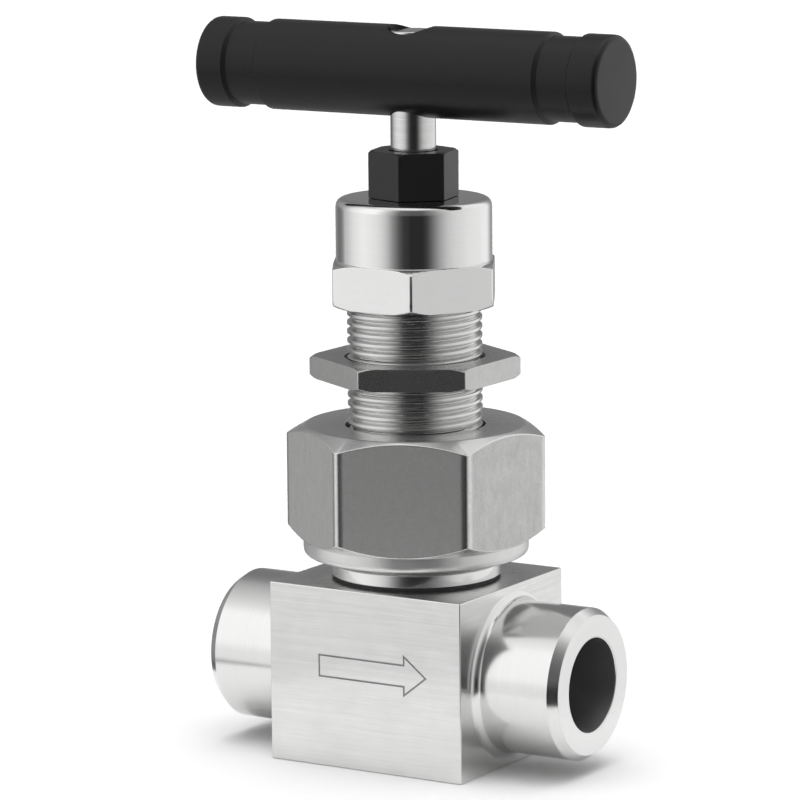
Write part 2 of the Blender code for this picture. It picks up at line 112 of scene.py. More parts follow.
BONNET_PLAIN_RADIUS = THREAD_RADIUS - 0.1 * MM
BONNET_FLANGE_RADIUS = 12.4 * MM
BONNET_FLANGE_TOP_Z = 41.5 * MM
BONNET_FLANGE_BOTTOM_Z = 36.8 * MM
BONNET_SPIGOT_RADIUS = 8.2 * MM
BACK_SEAT_BORE_RADIUS = 5.0 * MM
BACK_SEAT_Z = 39.6 * MM
STEM_BORE_RADIUS = 4.27 * MM
PACKING_BOX_RADIUS = 6.35 * MM
PACKING_BOX_Z = 55.0 * MM

PANEL_NUT_FLATS = 25.6 * MM
PANEL_NUT_CORNER_ANGLE = math.radians(29.2)
PANEL_NUT_FACE_RADIUS = 14.0 * MM

CAP_FLATS = 22.2 * MM
CAP_CORNER_ANGLE = math.radians(-0.8)
CAP_ROUND_RADIUS = 10.9 * MM
CAP_HEX_TOP_Z = 70.2 * MM
CAP_ROOF_Z = 74.3 * MM
CAP_UPPER_FACE_RADIUS = 11.7 * MM
CAP_LOWER_FACE_RADIUS = 11.6 * MM

BOLT_FLATS = 11.1 * MM
BOLT_CORNER_ANGLE = math.radians(-17.6)
BOLT_FACE_RADIUS = 5.9 * MM
BOLT_SHANK_RADIUS = 4.76 * MM

STEM_RADIUS = 3.175 * MM
STEM_THREAD_RADIUS = 3.97 * MM
STEM_UNDERCUT_RADIUS = 3.3 * MM
STEM_SHANK_RADIUS = 3.6 * MM
STEM_COLLAR_RADIUS = 4.7 * MM
STEM_LIP_RADIUS = 2.1 * MM
STEM_LIP_TOP_Z = 23.0 * MM
STEM_SOCKET_RADIUS = 2.7 * MM
STEM_SOCKET_TOP_Z = 26.5 * MM

HANDLE_TURN = Matrix.Rotation(math.radians(1.5), 4, "Z")
HANDLE_Z = (BAR_LOW.z + BAR_HIGH.z) / 2
HANDLE_RADIUS = (BAR_HIGH.z - BAR_LOW.z) / 2
HANDLE_HALF_LENGTH = 31.75 * MM
HANDLE_BAND_RADIUS = HANDLE_RADIUS - 0.5 * MM
HANDLE_BAND_OUTER = 27.35 * MM
HANDLE_BAND_INNER = 22.0 * MM
HANDLE_BAND_SLOPE = 0.4 * MM
HANDLE_EDGE = 0.18 * MM

SET_SCREW_RADIUS = 2.08 * MM
SET_SCREW_INNER_END = 3.475 * MM
SET_SCREW_OUTER_END = 5.8 * MM
SET_SCREW_POINT = 0.6 * MM
SET_SCREW_SOCKET_FLATS = 2.0 * MM
SET_SCREW_SOCKET_DEPTH = 1.2 * MM


# ---------------------------------------------------------------- mesh helpers
def outline(points, steps=4):
    """A (radius, height) profile whose points may carry a third value, the radius that rounds them.

    A rounded first or last point is taken to lead on to the axis, level with itself.
    """
    made = []
    for i, point in enumerate(points):
        here = Vector(point[:2])
        rounding = point[2] if len(point) > 2 else 0.0
        if not rounding:
            made.append(tuple(here))
            continue
        axis_point = (0.0, here.y)
        before = Vector(points[i - 1][:2] if i > 0 else axis_point) - here
        after = Vector(points[i + 1][:2] if i + 1 < len(points) else axis_point) - here
        turn = before.angle(after)
        reach = min(rounding / math.tan(turn / 2), 0.49 * before.length, 0.49 * after.length)
        start = here + before.normalized() * reach
        end = here + after.normalized() * reach
        for k in range(steps + 1):
            t = k / steps
            made.append(tuple(start * (1 - t) ** 2 + here * 2 * t * (1 - t) + end * t**2))
    return made


def new_object(name, mesh):
    obj = bpy.data.objects.new(name, mesh)
    bpy.context.scene.collection.objects.link(obj)
    return obj


def skin(name, rings, hollow):
    """A closed mesh through rings of equal length. A hollow one closes on itself, others are capped."""
    shape = bmesh.new()
    rows = [[shape.verts.new(point) for point in ring] for ring in rings]
    count = len(rows[0])
    pairs = list(zip(rows, rows[1:]))
    if hollow:
        pairs.append((rows[-1], rows[0]))
    for one, two in pairs:
        for i in range(count):
            j = (i + 1) % count
            shape.faces.new((one[i], one[j], two[j], two[i]))
    if not hollow:
        shape.faces.new(rows[0])
        shape.faces.new(reversed(rows[-1]))
    bmesh.ops.recalc_face_normals(shape, faces=shape.faces)
    mesh = bpy.data.meshes.new(name)
    shape.to_mesh(mesh)
    shape.free()
    return new_object(name, mesh)


def turned(name, profile, hollow=True, steps=TURNED_STEPS):
    """A body of revolution about Z through a (radius, height) profile."""
    turns = [2 * math.pi * i / steps for i in range(steps)]
    rings = [
        [(radius * math.cos(a), radius * math.sin(a), height) for a in turns]
        for radius, height in profile
    ]
    return skin(name, rings, hollow)


def hexagon(flats, corner_angle, rounding):
    """Points round a hexagon with rounded corners, the first corner at corner_angle from +X."""
    inner = flats / math.sqrt(3) - rounding / math.cos(math.radians(30))
    points = []
    for side in range(6):
        centre_angle = corner_angle + math.radians(60) * side
        centre = Vector((math.cos(centre_angle), math.sin(centre_angle))) * inner
        for k in range(CORNER_STEPS + 1):
            a = centre_angle + math.radians(60 * k / CORNER_STEPS - 30)
            points.append(centre + Vector((math.cos(a), math.sin(a))) * rounding)
        next_angle = centre_angle + math.radians(60)
        next_centre = Vector((math.cos(next_angle), math.sin(next_angle))) * inner
        out_angle = centre_angle + math.radians(30)
        out = Vector((math.cos(out_angle), math.sin(out_angle)))
        start = centre + out * rounding
        end = next_centre + out * rounding
        points += [start.lerp(end, k / FLAT_STEPS) for k in range(1, FLAT_STEPS)]
    return points


def hex_turned(name, flats, corner_angle, upper, lower, top_slope, bottom_slope, rounding, edge):
    """A hollow turned piece cut to a hexagon.

    upper and lower are the turned (radius, height) rows above and below the flats. The last upper row
    and the first lower row lie on the two chamfer cones, which leave them at the given slopes. edge
    breaks the line between cone and flat, and no turned row reaches further out than just inside it.
    """
    border = hexagon(flats, corner_angle, rounding)
    columns = []
    for point in border:
        reach = point.length
        along = point.normalized()
        limit = reach - 1.5 * edge
        upper_drop = max(reach - upper[-1][0], 0.0) * top_slope
        lower_rise = max(reach - lower[0][0], 0.0) * bottom_slope
        top = upper[-1][1] - upper_drop
        bottom = lower[0][1] + lower_rise
        rows = [(min(radius, limit), height) for radius, height in upper]
        for height, drop, slope, way in (
            (top, upper_drop, top_slope, 1),
            (bottom, lower_rise, bottom_slope, -1),
        ):
            on_cone = Vector((reach - edge, height + way * min(edge * slope, drop)))
            corner = Vector((reach, height))
            on_flat = Vector((reach, height - way * edge))
            middle = on_cone * 0.25 + corner * 0.5 + on_flat * 0.25
            trio = [on_cone, middle, on_flat]
            rows += [tuple(p) for p in (trio if way > 0 else reversed(trio))]
        rows += [(min(radius, limit), height) for radius, height in lower]
        columns.append([(along.x * radius, along.y * radius, height) for radius, height in rows])
    rings = list(zip(*columns))
    return skin(name, rings, hollow=True)


def thread_strip(radius, pitch, depth, bottom, turns, steps):
    """Points of a helical thread: rows round it, steps to a turn, each with one pitch of its profile."""
    crest = 0.32 * pitch
    root = 0.10 * pitch
    flank = (pitch - crest - root) / 2
    soft = 0.05 * pitch
    section = outline(
        [
            (radius - depth, -root / 2),
            (radius - depth, root / 2, soft),
            (radius, root / 2 + flank, soft),
            (radius, root / 2 + flank + crest, soft),
            (radius - depth, pitch - root / 2, soft),
            (radius - depth, pitch - root / 2 + 1e-9),
        ],
        steps=2,
    )[1:-1]
    points = []
    for i in range(int(turns * steps) + 1):
        a = 2 * math.pi * i / steps
        rise = bottom + pitch * i / steps
        points.append([(r * math.cos(a), r * math.sin(a), rise + z) for r, z in section])
    return points


def smooth(obj, angle=40):
    """Smooth shading with flat faces kept flat."""
    obj.data.shade_smooth()
    obj.data.set_sharp_from_angle(angle=math.radians(angle))
    weighted = obj.modifiers.new("Flat faces", "WEIGHTED_NORMAL")
    weighted.keep_sharp = True


def apply_modifiers(obj):
    graph = bpy.context.evaluated_depsgraph_get()
    mesh = bpy.data.meshes.new_from_object(obj.evaluated_get(graph))
    obj.modifiers.clear()
    obj.data = mesh
    mesh.name = obj.name


def apply_place(obj):
    obj.data.transform(obj.matrix_world)
    obj.matrix_world = Matrix.Identity(4)


def boolean(obj, other, operation):
    """Joins other to obj or cuts it out, keeps other's materials on the faces it makes, and removes it."""
    step = obj.modifiers.new(operation.title(), "BOOLEAN")
    step.operation = operation
    step.object = other
    step.solver = "EXACT"
    step.material_mode = "TRANSFER"
    bpy.context.view_layer.update()
    apply_modifiers(obj)
    bpy.data.objects.remove(other)


def by_face(obj, choose):
    """Gives each face the material index that choose returns for its centre and normal."""
    for face in obj.data.polygons:
        face.material_index = choose(face.center, face.normal)


# ---------------------------------------------------------------- material helpers
# Metres that a lathe finish's coordinates move for each radian round the axis.
LATHE_TURN_SCALE = 0.004


class Shader:
    """One material's node tree, with short ways to add the nodes that the finishes share."""

    def __init__(self, name, base, metallic, roughness):
        self.material = bpy.data.materials.new(name)
        self.material.use_nodes = True
        self.tree = self.material.node_tree
        self.surface = self.tree.nodes["Principled BSDF"]
        self.surface.inputs["Base Color"].default_value = (*base, 1)
        self.surface.inputs["Metallic"].default_value = metallic
        self.surface.inputs["Roughness"].default_value = roughness
        self.base = base

    def add(self, kind, **settings):
        node = self.tree.nodes.new(kind)
        for key, value in settings.items():
            setattr(node, key, value)
        return node

    def link(self, output, socket):
        self.tree.links.new(output, socket)

    def math(self, operation, *values):
        node = self.add("ShaderNodeMath", operation=operation)
        for i, value in enumerate(values):
            if hasattr(value, "links"):
                self.link(value, node.inputs[i])
            else:
                node.inputs[i].default_value = value
        return node.outputs[0]

    def place(self):
        return self.add("ShaderNodeTexCoord").outputs["Object"]

    def scaled(self, vector, scale):
        node = self.add("ShaderNodeVectorMath", operation="MULTIPLY")
        self.link(vector, node.inputs[0])
        node.inputs[1].default_value = scale
        return node.outputs[0]

    def lathe_place(self, axis, centre=(0, 0, 0)):
        """Coordinates (distance from the axis, distance along it, turn round it), for a lathe's rings."""
        shift = self.add("ShaderNodeVectorMath", operation="SUBTRACT")
        self.link(self.place(), shift.inputs[0])
        shift.inputs[1].default_value = centre
        parts = self.add("ShaderNodeSeparateXYZ")
        self.link(shift.outputs[0], parts.inputs[0])
        names = {"Z": ("X", "Y", "Z"), "X": ("Y", "Z", "X")}[axis]
        one, two, along = (parts.outputs[n] for n in names)
        squares = self.math("ADD", self.math("MULTIPLY", one, one), self.math("MULTIPLY", two, two))
        join = self.add("ShaderNodeCombineXYZ")
        self.link(self.math("SQRT", squares), join.inputs[0])
        self.link(along, join.inputs[1])
        turn = self.math("ARCTAN2", two, one)
        self.link(self.math("MULTIPLY", turn, LATHE_TURN_SCALE), join.inputs[2])
        return join.outputs[0]

    def noise(self, vector, scale, detail=3.0, roughness=0.6):
        node = self.add("ShaderNodeTexNoise")
        node.inputs["Scale"].default_value = 1.0
        node.inputs["Detail"].default_value = detail
        node.inputs["Roughness"].default_value = roughness
        self.link(self.scaled(vector, scale), node.inputs["Vector"])
        return node.outputs["Fac"]

    def spread(self, value, low, high):
        """Stretches a noise's middle range to low..high."""
        node = self.add("ShaderNodeMapRange")
        self.link(value, node.inputs["Value"])
        node.inputs["From Min"].default_value = 0.3
        node.inputs["From Max"].default_value = 0.7
        node.inputs["To Min"].default_value = low
        node.inputs["To Max"].default_value = high
        return node.outputs["Result"]

    def mixed(self, one, two, share=0.5):
        """A mix of two noises, share of it from the first."""
        return self.math("ADD", self.math("MULTIPLY", one, share), self.math("MULTIPLY", two, 1 - share))

    def tint(self, factor):
        """Base colour times a factor."""
        node = self.add("ShaderNodeVectorMath", operation="SCALE")
        node.inputs[0].default_value = self.base
        self.link(factor, node.inputs["Scale"])
        self.link(node.outputs[0], self.surface.inputs["Base Color"])

    def bump(self, height, distance):
        node = self.add("ShaderNodeBump")
        node.inputs["Strength"].default_value = 1.0
        node.inputs["Distance"].default_value = distance
        self.link(height, node.inputs["Height"])
        self.link(node.outputs[0], self.surface.inputs["Normal"])

    def rough(self, value):
        self.link(value, self.surface.inputs["Roughness"])


def grained_steel(name, base, roughness, streak, fine, wear=0.05, bump=3e-6):
    """Steel with straight brushing: streak and fine are the noise scales along X, Y and Z, per metre."""
    shader = Shader(name, base, 1.0, roughness)
    place = shader.place()
    broad = shader.noise(place, streak, detail=4.0)
    narrow = shader.noise(place, fine, detail=2.0)
    mottle = shader.noise(place, (260, 260, 260), detail=4.0)
    grain = shader.mixed(broad, narrow)
    both = shader.mixed(grain, mottle, 0.7)
    shader.tint(shader.spread(both, 1 - wear, 1 + wear * 0.4))
    shader.rough(shader.spread(both, roughness * 1.12, roughness * 0.9))
    shader.bump(grain, bump)
    return shader.material


def union_steel(name, base, roughness):
    """Matt wrench flats with smoother bands along the hexagon's corners, where handling polishes them."""
    shader = Shader(name, base, 1.0, roughness)
    place = shader.place()
    parts = shader.add("ShaderNodeSeparateXYZ")
    shader.link(place, parts.inputs[0])
    turn = shader.math("ARCTAN2", parts.outputs["Y"], parts.outputs["X"])
    side = math.radians(60)
    from_corner = shader.math("FLOORED_MODULO", shader.math("SUBTRACT", turn, UNION_CORNER_ANGLE), side)
    from_middle = shader.math("ABSOLUTE", shader.math("SUBTRACT", from_corner, side / 2))
    along = shader.math("MULTIPLY", shader.math("TANGENT", from_middle), UNION_FLATS / 2)
    mask = shader.add("ShaderNodeMapRange", interpolation_type="SMOOTHSTEP")
    shader.link(along, mask.inputs["Value"])
    mask.inputs["From Min"].default_value = UNION_POLISH_START
    mask.inputs["From Max"].default_value = UNION_POLISH_END
    polished = mask.outputs["Result"]
    broad = shader.noise(place, (700, 700, 420), detail=4.0)
    fine = shader.noise(place, (4200, 4200, 2600), detail=3.0)
    both = shader.mixed(broad, fine)
    matt = shader.spread(both, roughness * 1.1, roughness * 0.9)
    gain = shader.math("SUBTRACT", 1.0, shader.math("MULTIPLY", polished, 0.55))
    shader.rough(shader.math("MULTIPLY", matt, gain))
    shade = shader.spread(both, 0.84, 1.1)
    brighter = shader.math("ADD", 1.0, shader.math("MULTIPLY", polished, 0.15))
    shader.tint(shader.math("MULTIPLY", shade, brighter))
    shader.bump(shader.math("MULTIPLY", both, gain), 4e-6)
    return shader.material


def turned_steel(name, base, roughness, axis="Z", centre=(0, 0, 0), wear=0.04, bump=2e-6, pitch=7000):
    """Steel with the fine rings of a lathe round an axis."""
    shader = Shader(name, base, 1.0, roughness)
    place = shader.lathe_place(axis, centre)
    rings = shader.noise(place, (pitch, pitch, 60), detail=3.0)
    bands = shader.noise(place, (1500, 1500, 30), detail=2.0)
    mottle = shader.noise(shader.place(), (300, 300, 300), detail=3.0)
    grain = shader.mixed(rings, bands, 0.6)
    both = shader.mixed(grain, mottle, 0.75)
    shader.tint(shader.spread(both, 1 - wear, 1 + wear * 0.4))
    shader.rough(shader.spread(both, roughness * 1.15, roughness * 0.88))
    shader.bump(grain, bump)
    return shader.material


def dark_finish(name, base, roughness, metallic=0.0, specular=0.5, speckle=2600, depth=4e-6, variation=0.2):
    """A black coating or oxide with a fine speckled texture; on the boss's neck it is painted shade."""
    shader = Shader(name, base, metallic, roughness)
    shader.surface.inputs["Specular IOR Level"].default_value = specular
    place = shader.place()
    fine = shader.noise(place, (speckle, speckle, speckle), detail=3.0)
    broad = shader.noise(place, (180, 180, 180), detail=4.0)
    both = shader.mixed(fine, broad)
    shader.tint(shader.spread(both, 1 - variation, 1 + variation))
    shader.rough(shader.spread(both, roughness * 1.1, roughness * 0.9))
    shader.bump(fine, depth)
    return shader.material


# ---------------------------------------------------------------- materials
STEEL = (0.76, 0.76, 0.755)
PORT_CENTRE = (0, 0, PORT_AXIS_Z)

BLOCK_FINISH = grained_steel(
    "block_brushed", STEEL, 0.24, streak=(30, 30, 2200), fine=(150, 150, 7000), wear=0.14, bump=4e-6
)
# The block's top face: milled grain across Y, which is real, and a darker base than the sides, which is
# painted shade under the union nut.
BLOCK_TOP_SHADED_FINISH = grained_steel(
    "block_top_milled_painted_shade",
    (0.72, 0.72, 0.715),
    0.26,
    streak=(30, 2200, 30),
    fine=(150, 7000, 150),
    wear=0.14,
    bump=2e-6,
)
PORT_FINISH = turned_steel("pipe_end_turned", STEEL, 0.17, axis="X", centre=PORT_CENTRE)
# Inside the bores: a rough drilled finish, with a darker base that is painted shade.
BORE_SHADED_FINISH = turned_steel("bore_drilled_painted_shade", (0.36, 0.36, 0.365), 0.45, axis="X", centre=PORT_CENTRE)
BOSS_FINISH = turned_steel("boss_turned", (0.78, 0.78, 0.775), 0.13)
MARK_FINISH = dark_finish("etched_mark", (0.33, 0.33, 0.33), 0.6, metallic=0.4)
# Painted shade: a near-black finish standing in for the shadow in the boss's recessed neck.
NECK_PAINTED_SHADE_FINISH = dark_finish("boss_neck_painted_shade", (0.10, 0.10, 0.10), 0.6, metallic=0.4)
UNION_FINISH = union_steel("union_nut_satin", (0.58, 0.58, 0.575), 0.50)
UNION_TURNED_FINISH = turned_steel("union_nut_turned", (0.70, 0.70, 0.695), 0.25)
UNION_COLLAR_FINISH = turned_steel("union_nut_collar", (0.76, 0.76, 0.755), 0.40)
THREAD_FINISH = turned_steel("thread_rolled", (0.69, 0.69, 0.685), 0.13, pitch=9000, bump=5e-7)
PANEL_NUT_FINISH = grained_steel(
    "panel_nut_satin",
    (0.54, 0.54, 0.535),
    0.28,
    streak=(900, 900, 500),
    fine=(4500, 4500, 2600),
    wear=0.18,
    bump=1.5e-6,
)
CAP_FINISH = turned_steel("cap_polished", (0.78, 0.78, 0.775), 0.09)
BOLT_FINISH = dark_finish("bolt_black_oxide", (0.006, 0.006, 0.0063), 0.34, specular=0.4)
STEM_FINISH = turned_steel("stem_ground", (0.70, 0.70, 0.695), 0.10, wear=0.2, bump=4e-6)
HANDLE_FINISH = dark_finish("handle_coating", (0.005, 0.005, 0.0051), 0.31, specular=0.27)
PACKING_FINISH = dark_finish("packing_ptfe", (0.78, 0.77, 0.74), 0.45, variation=0.03)
INNER_FINISH = turned_steel("inner_turned", (0.62, 0.62, 0.61), 0.3)


def finish(obj, *materials):
    """Gives obj these materials in place of its own, and returns it."""
    obj.data.materials.clear()
    for each in materials:
        obj.data.materials.append(each)
    return obj


# ---------------------------------------------------------------- valve body
def make_block():
    mesh = bpy.data.meshes.new("block")
    shape = bmesh.new()
    bmesh.ops.create_cube(shape, size=1)
    bmesh.ops.scale(shape, verts=shape.verts, vec=(BLOCK_LENGTH, BLOCK_DEPTH, BLOCK_HEIGHT))
    bmesh.ops.translate(shape, verts=shape.verts, vec=(0, 0, BLOCK_HEIGHT / 2))
    bmesh.ops.bevel(
        shape, geom=shape.edges[:], offset=BLOCK_EDGE, segments=3, profile=0.5, affect="EDGES"
    )
    shape.to_mesh(mesh)
    shape.free()
    block = finish(new_object("valve_block", mesh), BLOCK_FINISH, BLOCK_TOP_SHADED_FINISH)
    # The top face gets the darker finish, painted shade.
    by_face(block, lambda centre, normal: 1 if normal.z > 0.9 else 0)
    return block


def make_port(side):
    """One pipe end, turned about Z and then laid along +X or -X. It starts inside the block."""
    bore_bottom = PORT_END_X - PORT_BORE_DEPTH
    block_face = BLOCK_LENGTH / 2
    inside = block_face - 2 * PORT_ROOT_FILLET
    root = [
        (
            PORT_RADIUS + PORT_ROOT_FILLET * (1 - math.cos(math.radians(a))),
            block_face + PORT_ROOT_FILLET * (1 - math.sin(math.radians(a))),
        )
        for a in range(0, 85, 12)
    ]
    outer = outline(
        [
            (PORT_BORE_RADIUS, bore_bottom),
            (PORT_BORE_RADIUS, PORT_END_X, BORE_EDGE),
            (PORT_RADIUS - PORT_BEVEL_RISE, PORT_END_X, 0.08 * MM),
            (PORT_RADIUS, PORT_END_X - PORT_BEVEL_DEPTH, 0.08 * MM),
            (PORT_RADIUS, block_face + PORT_ROOT_FILLET + 0.01 * MM),
        ]
    )
    profile = outer + root + [(PORT_RADIUS + PORT_ROOT_FILLET, inside)]
    port = finish(turned("port", profile, hollow=False), PORT_FINISH, BORE_SHADED_FINISH)
    # The bore's faces get the darker finish, painted shade inside the pipe end.
    painted_shade_bore_limit = PORT_BORE_RADIUS * 1.001
    by_face(port, lambda c, n: 1 if c.xy.length < painted_shade_bore_limit and c.z > inside + MM else 0)
    port.matrix_world = Matrix.Translation((0, 0, PORT_AXIS_Z)) @ Matrix.Rotation(
        side * math.pi / 2, 4, "Y"
    )
    return port


def make_boss():
    """The round boss under the union nut, on a narrower neck whose faces carry a near-black painted shade,
    for the dark line above the block.
    """
    neck_top = BLOCK_HEIGHT + 0.5 * MM
    neck_radius = BOSS_RELIEF_RADIUS - 0.7 * MM
    profile = outline(
        [
            (BOSS_THREAD_RADIUS, BOSS_TOP_Z, 0.5 * MM),
            (BOSS_THREAD_RADIUS, BOSS_RELIEF_TOP_Z, 0.2 * MM),
            (BOSS_RELIEF_RADIUS, BOSS_RELIEF_TOP_Z - 0.6 * MM, 0.2 * MM),
            (BOSS_RELIEF_RADIUS, neck_top, 0.12 * MM),
            (neck_radius, neck_top - 0.08 * MM, 0.1 * MM),
            (neck_radius, BLOCK_HEIGHT - 2 * MM),
        ]
    )
    boss = finish(turned("boss", profile, hollow=False), BOSS_FINISH, NECK_PAINTED_SHADE_FINISH)
    # The neck's faces get the painted shade.
    painted_shade_neck_limit = BOSS_RELIEF_RADIUS - 0.2 * MM
    by_face(boss, lambda c, n: 1 if c.z < neck_top and c.xy.length < painted_shade_neck_limit else 0)
    return boss


# Cutters carry the bore finish, with its painted shade, onto the faces they cut.
def cutter(name, profile, steps=TURNED_STEPS):
    return finish(turned(name, profile, hollow=False, steps=steps), BORE_SHADED_FINISH)


def make_drilling(centre_z, side):
    """A cutter from the stem's axis at centre_z to the middle of one bore's bottom."""
    run = PORT_END_X - PORT_BORE_DEPTH
    rise = PORT_AXIS_Z - centre_z
    length = math.hypot(run, rise) + DRILLING_RADIUS / 2
    drill = cutter("drilling", [(DRILLING_RADIUS, length), (DRILLING_RADIUS, 0)], steps=48)
    drill.matrix_world = Matrix.Translation((0, 0, centre_z)) @ Matrix.Rotation(
        side * math.atan2(run, rise), 4, "Y"
    )
    return drill


def arrow_outline(grow):
    """The flow arrow's outline on the front face as (x, z) points, moved outwards by grow."""
    tail, neck, tip = -7.4 * MM, 6.4 * MM, 9.9 * MM
    centre, shaft, barb = 14.3 * MM, 1.5 * MM, 2.75 * MM
    lean = math.atan2(barb, tip - neck)
    reach = grow / math.sin(lean)
    barb_x = neck - grow
    barb_z = (tip + reach - barb_x) * math.tan(lean)
    half = shaft + grow
    return [
        (tail - grow, centre + half),
        (barb_x, centre + half),
        (barb_x, centre + barb_z),
        (tip + reach, centre),
        (barb_x, centre - barb_z),
        (barb_x, centre - half),
        (tail - grow, centre - half),
    ]


def make_arrow_cutter():
    """A closed frame along the arrow's outline, which reaches a little way into the front face."""
    width, depth = 0.26 * MM, 0.09 * MM
    outside, sunk = BODY_LOW.y - MM, BODY_LOW.y + depth
    outer, inner = arrow_outline(width / 2), arrow_outline(-width / 2)
    shape = bmesh.new()
    rows = [
        [shape.verts.new((x, y, z)) for x, z in ring]
        for ring, y in ((outer, outside), (outer, sunk), (inner, sunk), (inner, outside))
    ]
    for one, two in zip(rows, rows[1:] + rows[:1]):
        for i in range(len(outer)):
            j = (i + 1) % len(outer)
            shape.faces.new((one[i], one[j], two[j], two[i]))
    bmesh.ops.recalc_face_normals(shape, faces=shape.faces)
    mesh = bpy.data.meshes.new("arrow")
    shape.to_mesh(mesh)
    shape.free()
    return finish(new_object("arrow", mesh), MARK_FINISH)


def make_valve_body():
    body = make_block()
    boolean(body, make_port(-1), "UNION")
    boolean(body, make_port(1), "UNION")
    boolean(body, make_boss(), "UNION")
    chamber = [
        (SPIGOT_SOCKET_RADIUS, BOSS_TOP_Z + MM),
        (SPIGOT_SOCKET_RADIUS, SPIGOT_SOCKET_Z),
        (CHAMBER_RADIUS, SPIGOT_SOCKET_Z),
        (CHAMBER_RADIUS, SEAT_Z + CHAMBER_RADIUS - ORIFICE_RADIUS),
        (ORIFICE_RADIUS, SEAT_Z),
        (ORIFICE_RADIUS, ORIFICE_BOTTOM_Z),
    ]
    boolean(body, cutter("chamber", chamber), "DIFFERENCE")
    boolean(body, make_drilling(ORIFICE_BOTTOM_Z + ORIFICE_RADIUS, -1), "DIFFERENCE")
    boolean(body, make_drilling(OUTLET_DRILLING_Z, 1), "DIFFERENCE")
    boolean(body, make_arrow_cutter(), "DIFFERENCE")
    smooth(body, 30)
    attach(body, "valve")
    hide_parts("valve_body")


# ---------------------------------------------------------------- union nut, panel nut, cap, bolt
def union_face(centre, normal):
    """The union nut's material for a face: 2 the collar, 0 the flats, 1 the turned faces between."""
    if centre.z < UNION_COLLAR_TOP_Z + 0.01 * MM:
        return 2
    return 0 if abs(normal.z) < 0.12 else 1


def make_union_nut():
    bore = BOSS_THREAD_RADIUS + CLEARANCE
    hole = THREAD_RADIUS + CLEARANCE
    top, bottom = UNION_HIGH.z, UNION_LOW.z
    cone_start = 0.25 * MM
    upper = outline(
        [
            (hole, UNION_SHOULDER_Z),
            (hole, top, 0.35 * MM),
            (UNION_FACE_RADIUS, top, 0.5 * MM),
            (UNION_FACE_RADIUS + cone_start, top - cone_start * CHAMFER_SLOPE),
        ]
    )
    lower = outline(
        [
            (UNION_COLLAR_RADIUS, UNION_COLLAR_TOP_Z),
            (UNION_COLLAR_RADIUS, bottom, 1.3 * MM),
            (bore, bottom, 0.15 * MM),
            (bore, UNION_SHOULDER_Z),
        ],
        steps=6,
    )
    nut = hex_turned(
        "union_nut_shell",
        UNION_FLATS,
        UNION_CORNER_ANGLE,
        upper,
        lower,
        top_slope=CHAMFER_SLOPE,
        bottom_slope=0.65,
        rounding=0.8 * MM,
        edge=0.12 * MM,
    )
    finish(nut, UNION_FINISH, UNION_TURNED_FINISH, UNION_COLLAR_FINISH)
    by_face(nut, union_face)
    smooth(nut)
    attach(nut, "valve")
    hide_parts("union_nut")


def make_panel_nut():
    top, bottom = PANEL_HIGH.z, PANEL_LOW.z
    bore = THREAD_RADIUS + CLEARANCE
    face = PANEL_NUT_FACE_RADIUS
    upper = outline([(bore, bottom + MM), (bore, top, 0.3 * MM), (face, top)])
    lower = outline([(face, bottom), (bore, bottom, 0.3 * MM), (bore, bottom + 0.9 * MM)])
    nut = hex_turned(
        "panel_nut_shell",
        PANEL_NUT_FLATS,
        PANEL_NUT_CORNER_ANGLE,
        upper,
        lower,
        top_slope=CHAMFER_SLOPE,
        bottom_slope=CHAMFER_SLOPE,
        rounding=0.25 * MM,
        edge=0.1 * MM,
    )
    finish(nut, PANEL_NUT_FINISH)
    smooth(nut)
    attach(nut, "panel_nut")
    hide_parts("panel_nut")


def make_bonnet_cap():
    top, bottom = CAP_HIGH.z, CAP_LOW.z
    hole = BOLT_SHANK_RADIUS + CLEARANCE
    bore = THREAD_RADIUS + CLEARANCE
    upper = outline(
        [
            (hole, CAP_ROOF_Z),
            (hole, top, 0.2 * MM),
            (CAP_ROUND_RADIUS, top, 1.4 * MM),
            (CAP_ROUND_RADIUS, CAP_HEX_TOP_Z, 0.12 * MM),
            (CAP_UPPER_FACE_RADIUS, CAP_HEX_TOP_Z - 0.03 * MM),
        ],
        steps=8,
    )
    lower = outline(
        [
            (CAP_LOWER_FACE_RADIUS, bottom),
            (bore, bottom, 0.2 * MM),
            (bore, CAP_ROOF_Z),
        ]
    )
    cap = hex_turned(
        "bonnet_cap_shell",
        CAP_FLATS,
        CAP_CORNER_ANGLE,
        upper,
        lower,
        top_slope=CHAMFER_SLOPE,
        bottom_slope=CHAMFER_SLOPE,
        rounding=0.5 * MM,
        edge=0.09 * MM,
    )
    finish(cap, CAP_FINISH)
    smooth(cap)
    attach(cap, "valve")
    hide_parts("bonnet_cap")


def make_packing_bolt():
    """The bolt's hexagon stands just clear of the cap, on a shank that goes down into it."""
    top, bottom = BOLT_HIGH.z, BOLT_LOW.z
    hex_bottom = CAP_HIGH.z + 0.05 * MM
    shank = BOLT_SHANK_RADIUS
    bore = STEM_RADIUS + CLEARANCE
    upper = outline([(bore, bottom + MM), (bore, top, 0.2 * MM), (BOLT_FACE_RADIUS, top)])
    lower = outline(
        [
            (shank + 0.3 * MM, hex_bottom),
            (shank, hex_bottom, 0.1 * MM),
            (shank, bottom, 0.3 * MM),
            (bore, bottom),
            (bore, bottom + 0.9 * MM),
        ]
    )
    bolt = hex_turned(
        "packing_bolt_head",
        BOLT_FLATS,
        BOLT_CORNER_ANGLE,
        upper,
        lower,
        top_slope=CHAMFER_SLOPE,
        bottom_slope=0.0,
        rounding=0.2 * MM,
        edge=0.09 * MM,
    )
    finish(bolt, BOLT_FINISH)
    smooth(bolt)
    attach(bolt, "valve")
    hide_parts("packing_bolt")


